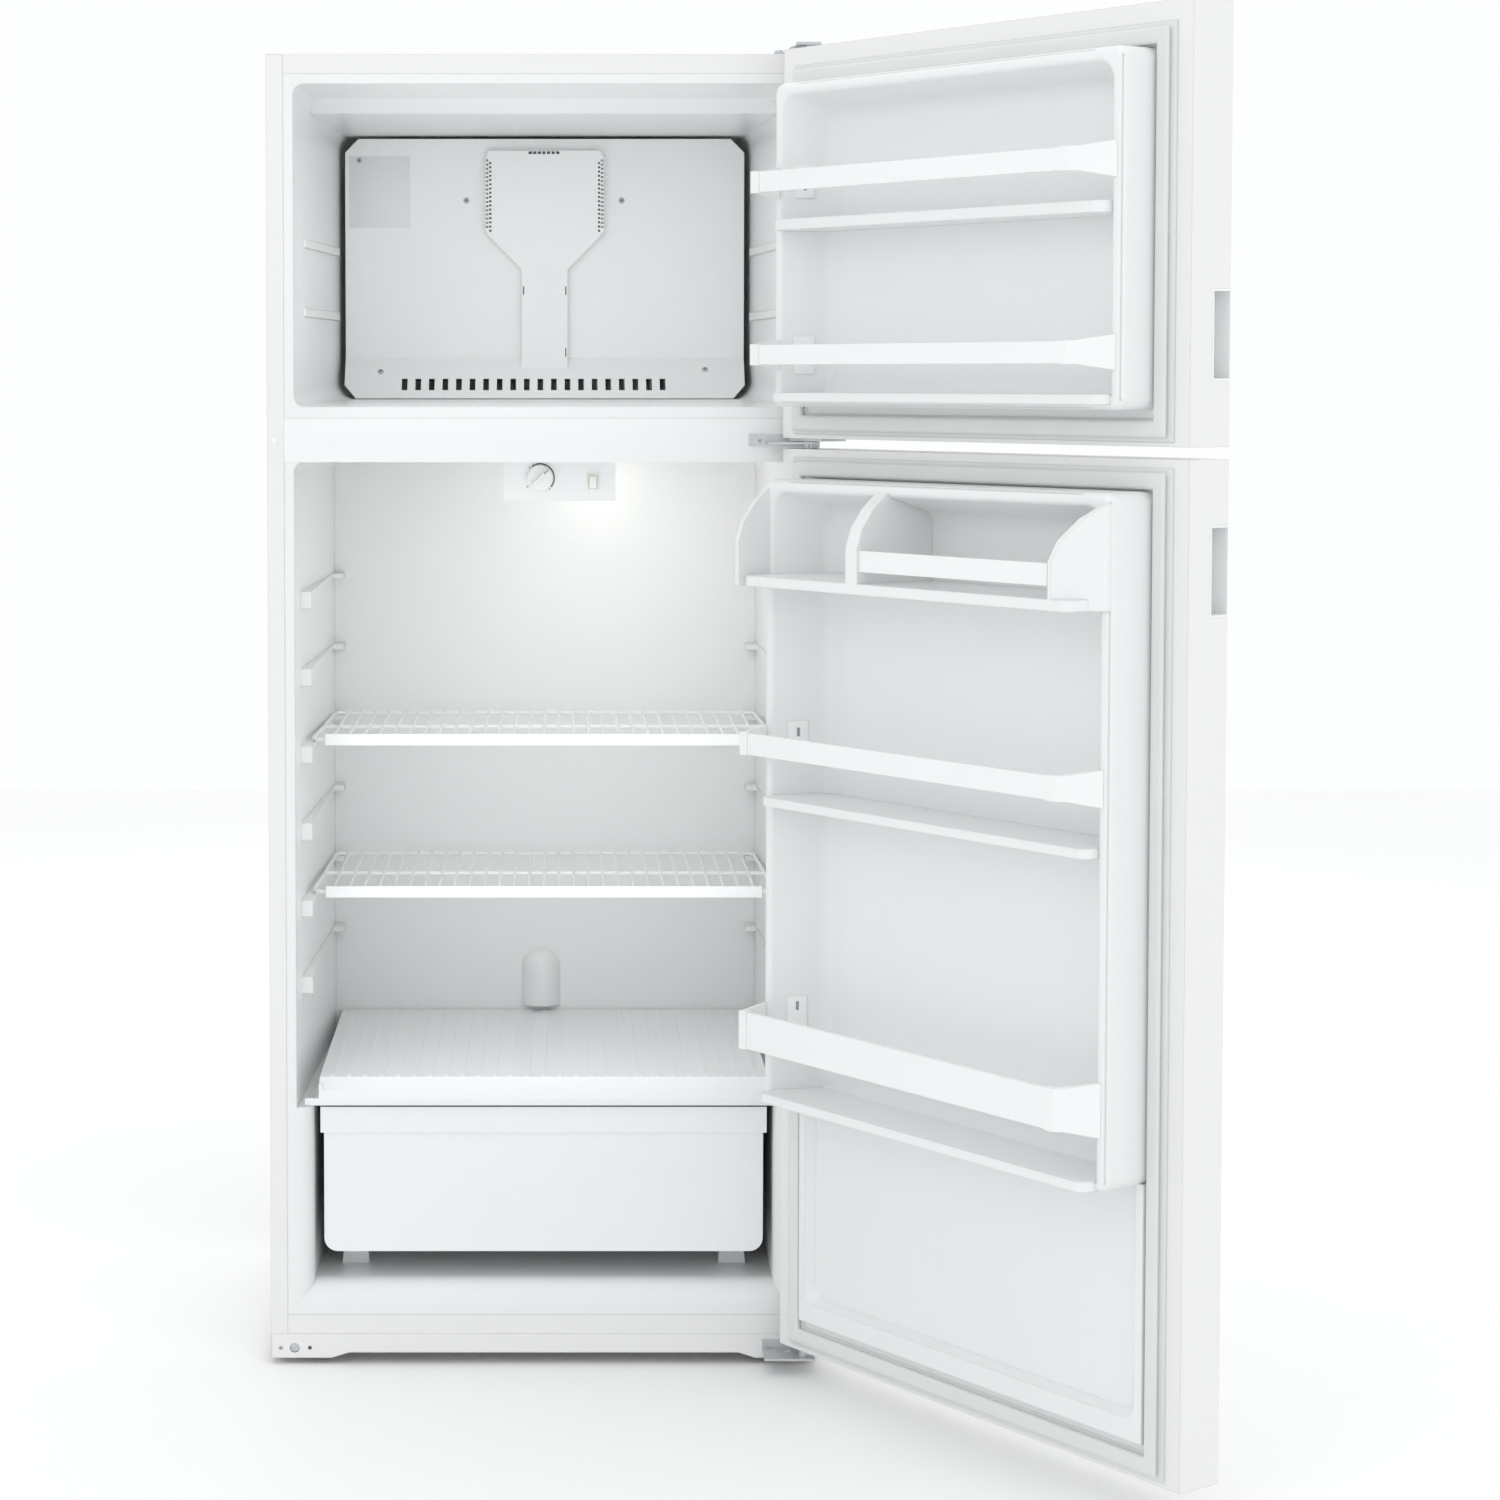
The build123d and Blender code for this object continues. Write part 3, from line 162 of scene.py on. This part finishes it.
# ---------------------------------------------------------------- wire shelves
# Each shelf is welded steel wire dipped in white vinyl powder, which melts to an even, slightly soft gloss over the
# wires and their joints.
coated_wire = finish_of("white_coated_wire", "F3F4F4", "EDEFEF", 0.32, 0.04, 0.0008, 0.05, broad=12.0)
repaint(["upper_wire_shelf", "lower_wire_shelf"], coated_wire)

# ---------------------------------------------------------------- crisper
# The drawer and the ribbed cover over it are moulded styrene, tinted to a cloudy white, with a cool, clean gloss.
# The ribs, the feet and the folded rim come from the CAD.
frosted_styrene = finish_of("frosted_white_styrene", "F1F3F4", "ECEFF0", 0.26, 0.03, 0.001, 0.04, broad=5.0)
repaint(["crisper_drawer", "crisper_cover"], frosted_styrene)

# ---------------------------------------------------------------- bulb
# A small appliance bulb of frosted glass, screwed in behind the control housing. It is lit while the door is open,
# and its glass glows faintly warm.
lamp_glass = finish_of("lit_bulb_glass", "FFF2D8", "FFEBC4", 0.15, 0.02, 0.001, 0.0)
bulb_shader = lamp_glass.node_tree.nodes["Principled BSDF"]
bulb_shader.inputs["Emission Color"].default_value = linear("FFF1D6")
bulb_shader.inputs["Emission Strength"].default_value = 0.35
repaint(["light_bulb"], lamp_glass)

# ---------------------------------------------------------------- door seals
# The seal is one loop of extruded vinyl with mitred corners: a flat foot on the liner, a pleated bellows that
# lets it stretch, and a rounded hollow bulb in front that holds the magnetic strip.
soft_vinyl = finish_of("extruded_soft_vinyl", "E2E4E3", "DADDDC", 0.5, 0.05, 0.0015, 0.1, broad=9.0)
repaint(["freezer_door_gasket", "fridge_door_gasket"], soft_vinyl)
HINGE = Vector((0.3375, -0.038, 0.0))
OPEN = math.radians(125)
LINER_BACK = -0.012  # the closed door's inner face, which the seal's foot lies on
SEAL_INNER = 0.3058  # half the width of the opening in the seal


def swing_open(piece):
    """Turns a door piece drawn in the closed place about the hinge pins to where the door stands at rest."""
    turn = Matrix.Translation(HINGE) @ Matrix.Rotation(OPEN, 4, "Z") @ Matrix.Translation(-HINGE)
    piece.data.transform(turn)
    return piece


def deselect():
    bpy.ops.object.select_all(action="DESELECT")


def pick(piece):
    """Makes one piece the only selected and active object."""
    deselect()
    piece.select_set(True)
    bpy.context.view_layer.objects.active = piece


def rounded_block(name, low, high, radius, steps=3):
    """A block between two corners with every edge rounded, its place in its mesh."""
    centre = [(a + b) / 2 for a, b in zip(low, high)]
    bpy.ops.mesh.primitive_cube_add(size=1.0, location=centre)
    piece = bpy.context.object
    piece.name = name
    piece.scale = [b - a for a, b in zip(low, high)]
    bpy.ops.object.transform_apply(location=True, rotation=True, scale=True)
    soften = piece.modifiers.new("soften", "BEVEL")
    soften.width = radius
    soften.segments = steps
    bpy.ops.object.modifier_apply(modifier="soften")
    bpy.ops.object.shade_smooth_by_angle(angle=math.radians(40))
    return piece


def seal_loop(name, half_width, low, high):
    """Carries the seal's section round a rectangle: points outwards from its inner edge, and proud of the liner."""
    section = [(0.0, 0.0), (0.0015, 0.0030), (0.0050, 0.0036), (0.0025, 0.0052), (0.0030, 0.0092),
               (0.0060, 0.0112), (0.0120, 0.0114), (0.0185, 0.0112), (0.0215, 0.0094), (0.0205, 0.0062),
               (0.0180, 0.0044), (0.0235, 0.0036), (0.0262, 0.0026), (0.0270, 0.0)]
    corners = [(-1, -1), (1, -1), (1, 1), (-1, 1)]
    mesh = bmesh.new()
    rings = []
    for side_x, side_z in corners:
        x = side_x * half_width
        z = low if side_z < 0 else high
        rings.append([mesh.verts.new((x + side_x * out, LINER_BACK + proud, z + side_z * out))
                      for out, proud in section])
    for one, two in zip(rings, rings[1:] + rings[:1]):
        for k in range(len(section)):
            mesh.faces.new((one[k], two[k], two[(k + 1) % len(section)], one[(k + 1) % len(section)]))
    bmesh.ops.recalc_face_normals(mesh, faces=mesh.faces)
    data = bpy.data.meshes.new(name)
    mesh.to_mesh(data)
    mesh.free()
    piece = bpy.data.objects.new(name, data)
    bpy.context.scene.collection.objects.link(piece)
    pick(piece)
    soften = piece.modifiers.new("soften", "BEVEL")
    soften.width = 0.0007
    soften.segments = 2
    bpy.ops.object.modifier_apply(modifier="soften")
    bpy.ops.object.shade_smooth_by_angle(angle=math.radians(50))
    piece.data.materials.append(soft_vinyl)
    swing_open(piece)
    return piece


for door, low, high in (("freezer_door", 1.2410, 1.6510), ("fridge_door", 0.0730, 1.1590)):
    seal = seal_loop(door + "_seal", SEAL_INNER, low, high)
    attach(seal, door)
    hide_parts(door + "_gasket")

# ---------------------------------------------------------------- control knob and dial
# A white moulded knob pressed on the thermostat's spindle: a disc with a raised finger grip across it and a dark
# line at one end of the grip. A dark arc and three short marks printed round it show the settings.
KNOB_X, KNOB_Z, KNOB_R = -0.005, 1.153, 0.017
HOUSING_FRONT = 0.125
bpy.ops.mesh.primitive_cylinder_add(vertices=72, radius=KNOB_R, depth=0.007, location=(KNOB_X, 0.1205, KNOB_Z),
                                    rotation=(math.radians(90), 0, 0))
knob = bpy.context.object
knob.name = "knob_disc"
bpy.ops.object.transform_apply(location=True, rotation=True, scale=True)
soften = knob.modifiers.new("soften", "BEVEL")
soften.width = 0.0016
soften.segments = 4
soften.limit_method = "ANGLE"
bpy.ops.object.modifier_apply(modifier="soften")
bpy.ops.object.shade_smooth_by_angle(angle=math.radians(40))
grip = rounded_block("knob_grip", (-0.0155, -0.0045, -0.0024), (0.0155, 0.0045, 0.0024), 0.0016, 4)
grip.data.transform(Matrix.Translation((KNOB_X, 0.1150, KNOB_Z)) @ Matrix.Rotation(math.radians(-45), 4, "Y"))
pointer = rounded_block("knob_pointer", (0.0080, -0.0003, -0.0006), (0.0150, 0.0003, 0.0006), 0.0002, 2)
pointer.data.transform(Matrix.Translation((KNOB_X, 0.1104, KNOB_Z)) @ Matrix.Rotation(math.radians(-45), 4, "Y"))
printed_grey = finish_of("printed_grey_ink", "45484B", "4C4F52", 0.6, 0.02, 0.001, 0.0)
for piece, material in ((knob, moulded_abs), (grip, moulded_abs), (pointer, printed_grey)):
    piece.data.materials.append(material)
    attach(piece, "thermostat_knob_body")
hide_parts("thermostat_knob")
ARC_IN, ARC_OUT, ARC_PROUD = KNOB_R + 0.0010, KNOB_R + 0.0026, 0.0003
ARC_START, ARC_SWEEP = math.radians(-35), math.radians(165)
deselect()
bpy.ops.mesh.primitive_plane_add(size=1.0, location=(0, 0, 0))
arc = bpy.context.object
arc.name = "dial_arc"
arc.data.transform(Matrix.Diagonal((ARC_PROUD, ARC_OUT - ARC_IN, 1.0, 1.0)))
arc.data.transform(Matrix.Translation((KNOB_X, HOUSING_FRONT, KNOB_Z)) @ Matrix.Rotation(ARC_START, 4, "Y")
                   @ Matrix.Translation((0, 0, (ARC_IN + ARC_OUT) / 2)) @ Matrix.Rotation(math.radians(90), 4, "Z")
                   @ Matrix.Rotation(math.radians(90), 4, "X"))
bpy.ops.object.mode_set(mode="EDIT")
bpy.ops.mesh.select_all(action="SELECT")
bpy.ops.mesh.spin(steps=40, angle=-ARC_SWEEP, center=(KNOB_X, HOUSING_FRONT, KNOB_Z), axis=(0, 1, 0))
bpy.ops.mesh.select_all(action="SELECT")
bpy.ops.mesh.normals_make_consistent(inside=False)
bpy.ops.object.mode_set(mode="OBJECT")
arc.data.materials.append(printed_grey)
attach(arc, "cabinet")
for name, turn, length in (("dial_mark_low", -125, 0.0030), ("dial_mark_off", -45, 0.0022),
                           ("dial_mark_high", 140, 0.0022)):
    mark = rounded_block(name, (-0.0005, -0.00015, 0.0), (0.0005, 0.00015, length), 0.0001, 2)
    mark.data.transform(Matrix.Translation((KNOB_X, HOUSING_FRONT - 0.00016, KNOB_Z))
                        @ Matrix.Rotation(math.radians(turn), 4, "Y") @ Matrix.Translation((0, 0, KNOB_R + 0.0016)))
    mark.data.materials.append(printed_grey)
    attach(mark, "cabinet")

# ---------------------------------------------------------------- light switch
# A moulded white push switch in a slot of the control housing. A spring pushes it out when the door opens, and a
# narrow raised rib stands at each side of it.
switch = rounded_block("light_switch_button", (0.0603, 0.1165, 1.1393), (0.0697, 0.1395, 1.1557), 0.0014, 3)
switch.data.materials.append(moulded_abs)
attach(switch, "light_switch_body")
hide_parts("light_switch")
for name, low, high in (("switch_frame_left", (0.0565, 0.1236, 1.1350), (0.0590, 0.1252, 1.1600)),
                        ("switch_frame_right", (0.0710, 0.1236, 1.1350), (0.0735, 0.1252, 1.1600))):
    piece = rounded_block(name, low, high, 0.0006, 2)
    piece.data.materials.append(moulded_abs)
    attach(piece, "cabinet")

# ---------------------------------------------------------------- shelf bar clip plates
# Each door bar is held on the hinge side by a small moulded plate screwed to the liner's sloping wall. It has a
# rounded outline and an upright slot that the bar's end hooks into, drawn as a thin grey sheet: painted shade for the
# slot's hollow.
# Painted shade: the grey that stands for the dark inside of each slot.
slot_shadow = finish_of("clip_slot_shadow", "9A9D9F", "909395", 0.6, 0.03, 0.0008, 0.1)
for door, name, level, low, high, y, x, tilt in (
        ("freezer_door", "freezer_upper", 1.5240, 1.5090, 1.5506, 0.018, 0.2770, -26.6),
        ("freezer_door", "freezer_lower", 1.3210, 1.2900, 1.3375, 0.018, 0.2770, -26.6),
        ("fridge_door", "fridge_upper", 0.8420, 0.8120, 0.8560, 0.026, 0.2766, -23.5),
        ("fridge_door", "fridge_lower", 0.4960, 0.4500, 0.5080, 0.026, 0.2766, -23.5)):
    wall_frame = Matrix.Translation((x, y, 0.0)) @ Matrix.Rotation(math.radians(tilt), 4, "Z")
    plate = rounded_block(name + "_clip_plate", (-0.0022, -0.0130, low), (-0.0002, 0.0130, high), 0.0009, 3)
    slot = rounded_block(name + "_clip_slot", (-0.0024, -0.0020, level - 0.0055),
                         (-0.0021, 0.0020, level + 0.0055), 0.0001, 2)
    plate.data.materials.append(moulded_abs)
    slot.data.materials.append(slot_shadow)
    for piece in (plate, slot):
        piece.data.transform(wall_frame)
        swing_open(piece)
        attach(piece, door)

# ---------------------------------------------------------------- blank data plate
# A thin satin film stuck on the freezer's back cover, where the maker's data would be. It is left blank, with
# nothing printed on it.
data_plate = rounded_block("blank_data_plate", (-0.274, 0.4094, 1.496), (-0.189, 0.4100, 1.596), 0.0002, 2)
plate_film = finish_of("satin_label_film", "E8EAEA", "E2E4E5", 0.35, 0.03, 0.002, 0.02, broad=20.0)
data_plate.data.materials.append(plate_film)
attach(data_plate, "cabinet")

# ---------------------------------------------------------------- duct vents
# Cold air leaves the duct cover through moulded holes: a column down each edge of its wide head, a row across the
# top, and a few short slots beside the stem. They are drawn as thin dark patches, painted shade for the holes.
DUCT_FRONT = 0.398
# Painted shade: the dark grey of the vent patches stands for the shadow inside the holes.
vent_painted_shade = finish_of("vent_recess_shadow", "55585A", "4B4E50", 0.7, 0.03, 0.0008, 0.1)
vent_places = [(side * 0.0762, 1.4912 + 0.0059 * step, 0.0016, 0.0014) for side in (-1, 1) for step in range(17)]
vent_places += [(-0.0205 + 0.0065 * step, 1.6000, 0.0022, 0.0017) for step in range(7)]
vent_places += [(-0.0296, 1.4075, 0.0008, 0.0060), (0.0296, 1.4075, 0.0008, 0.0060), (0.0296, 1.3210, 0.0008, 0.0060)]
vents = []
for x, z, half_x, half_z in vent_places:
    vents.append(rounded_block("duct_vents", (x - half_x, DUCT_FRONT - 0.0002, z - half_z),
                               (x + half_x, DUCT_FRONT + 0.0004, z + half_z), 0.0002, 1))
deselect()
for vent in vents:
    vent.select_set(True)
bpy.context.view_layer.objects.active = vents[0]
bpy.ops.object.join()
vents[0].data.materials.append(vent_painted_shade)
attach(vents[0], "cabinet")

# ---------------------------------------------------------------- cover screws
# Zinc-plated pan-head screws hold the freezer's back cover to its posts, two of them on the sloping foot. Each is
# modelled as the upper half of a ball, flattened; its cross recess is two thin dark bars, painted shade for the
# recess.
HEAD_RADIUS, HEAD_FLATTEN = 0.0042, 0.55
screw_zinc = finish_of("zinc_plated_screw_head", "C2C5C7", "B2B5B8", 0.4, 0.05, 0.0008, 0.05, metallic=0.4)
# Painted shade: the dark grey of the cross bars stands for the shadow in each screw's recess.
screw_recess_painted_shade = finish_of("screw_recess_shadow", "5A5D60", "525558", 0.6, 0.03, 0.0008, 0.1)
SCREW_PLACES = [(-0.260, 0.410, 1.590, 0.0), (-0.110, 0.410, 1.534, 0.0), (0.108, 0.410, 1.534, 0.0),
                (-0.230, 0.394, 1.294, 38.3), (0.225, 0.3964, 1.297, 38.3)]
for count, (x, y, z, tilt) in enumerate(SCREW_PLACES, 1):
    bpy.ops.mesh.primitive_uv_sphere_add(segments=36, ring_count=18, radius=HEAD_RADIUS, location=(0, 0, 0))
    head = bpy.context.object
    head.name = f"cover_screw_{count}"
    bpy.ops.object.mode_set(mode="EDIT")
    bpy.ops.mesh.select_all(action="SELECT")
    bpy.ops.mesh.bisect(plane_co=(0, 0, 0), plane_no=(0, 1, 0), use_fill=True, clear_outer=True)
    bpy.ops.object.mode_set(mode="OBJECT")
    head.data.transform(Matrix.Diagonal((1.0, HEAD_FLATTEN, 1.0, 1.0)))
    bpy.ops.object.shade_smooth_by_angle(angle=math.radians(40))
    head.data.materials.append(screw_zinc)
    bars = []
    for part, (half_x, half_z) in enumerate(((0.0022, 0.0005), (0.0005, 0.0022)), 1):
        bar = rounded_block(f"cover_screw_{count}_slot_{part}", (-half_x, -0.00245, -half_z),
                            (half_x, -0.0016, half_z), 0.0001, 1)
        bar.data.materials.append(screw_recess_painted_shade)
        bars.append(bar)
    for piece in [head] + bars:
        piece.data.transform(Matrix.Translation((x, y, z)) @ Matrix.Rotation(math.radians(-tilt), 4, "X"))
        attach(piece, "cabinet")
    if count == 1:
        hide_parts("evaporator_cover_screws")

# ---------------------------------------------------------------- interior lamp
# The light that the bulb throws into the top of the compartment while the door stands open. It stands behind the
# housing, where the bulb is.
glow = bpy.data.lights.new("interior_glow", "POINT")
glow.energy = 0.6
glow.shadow_soft_size = 0.06
glow.color = linear("FFFDF8")[:3]
glow_holder = bpy.data.objects.new("interior_glow", glow)
glow_holder.location = (0.075, 0.275, 1.135)
bpy.context.scene.collection.objects.link(glow_holder)

# ---------------------------------------------------------------- floor, light and camera
# A plain white studio sweep under soft white light from all round, with a low soft panel facing into each open
# compartment, so that the deep white interiors stay as bright as the doors.
FLOOR_HALF = 6.0
bpy.ops.mesh.primitive_plane_add(size=2 * FLOOR_HALF, location=(0, 0, 0))
floor = bpy.context.object
floor.name = "floor"
pale_floor = finish_of("pale_studio_floor", "FCFCFC", "FBFBFB", 0.6, 0.02, 0.01, 0.0, broad=1.0)
floor.data.materials.append(pale_floor)

world = bpy.data.worlds.new("studio")
bpy.context.scene.world = world
world.use_nodes = True
world.node_tree.nodes["Background"].inputs["Color"].default_value = linear("FDFEFF")
world.node_tree.nodes["Background"].inputs["Strength"].default_value = 1.0


def soft_light(name, place, aim, size, watts, colour="FFFFFF"):
    """A large square area light, turned towards a point."""
    lamp = bpy.data.lights.new(name, "AREA")
    lamp.shape = "SQUARE"
    lamp.size = size
    lamp.energy = watts
    lamp.color = linear(colour)[:3]
    holder = bpy.data.objects.new(name, lamp)
    bpy.context.scene.collection.objects.link(holder)
    holder.location = place
    holder.rotation_euler = (Vector(aim) - Vector(place)).to_track_quat("-Z", "Y").to_euler()


for name, low, high, watts in (("freezer_fill", (-0.27, 1.27), (0.27, 1.62), 0.28),
                               ("fridge_fill", (-0.27, 0.42), (0.27, 1.12), 0.46)):
    panel = bpy.data.lights.new(name, "AREA")
    panel.shape = "RECTANGLE"
    panel.size = high[0] - low[0]
    panel.size_y = high[1] - low[1]
    panel.energy = watts
    holder = bpy.data.objects.new(name, panel)
    bpy.context.scene.collection.objects.link(holder)
    holder.location = (0.0, -0.03, (low[1] + high[1]) / 2)
    holder.rotation_euler = (math.radians(90), 0.0, 0.0)
    holder.visible_camera = False
soft_light("key_light", (-2.6, -4.2, 3.6), (0.1, 0.0, 0.9), 2.4, 15)
soft_light("fill_light", (3.4, -3.6, 2.2), (0.1, 0.0, 0.9), 2.6, 8)
soft_light("top_light", (0.0, -0.6, 4.2), (0.0, 0.0, 0.8), 3.0, 10)
soft_light("rear_light", (0.5, 4.0, 2.8), (0.0, 0.3, 0.9), 2.6, 12)

camera_data = bpy.data.cameras.new("camera")
camera_data.lens = 79.596
camera_data.sensor_width = 36.0
camera_data.shift_x = 0.1268
camera_data.shift_y = -0.133
camera_data.clip_end = 60.0
camera = bpy.data.objects.new("camera", camera_data)
camera.location = (0.0212, -4.2682, 1.2869)
camera.rotation_euler = (math.radians(90 - 3), 0.0, 0.0)
bpy.context.scene.collection.objects.link(camera)
bpy.context.scene.camera = camera
bpy.context.scene.view_settings.view_transform = "Standard"
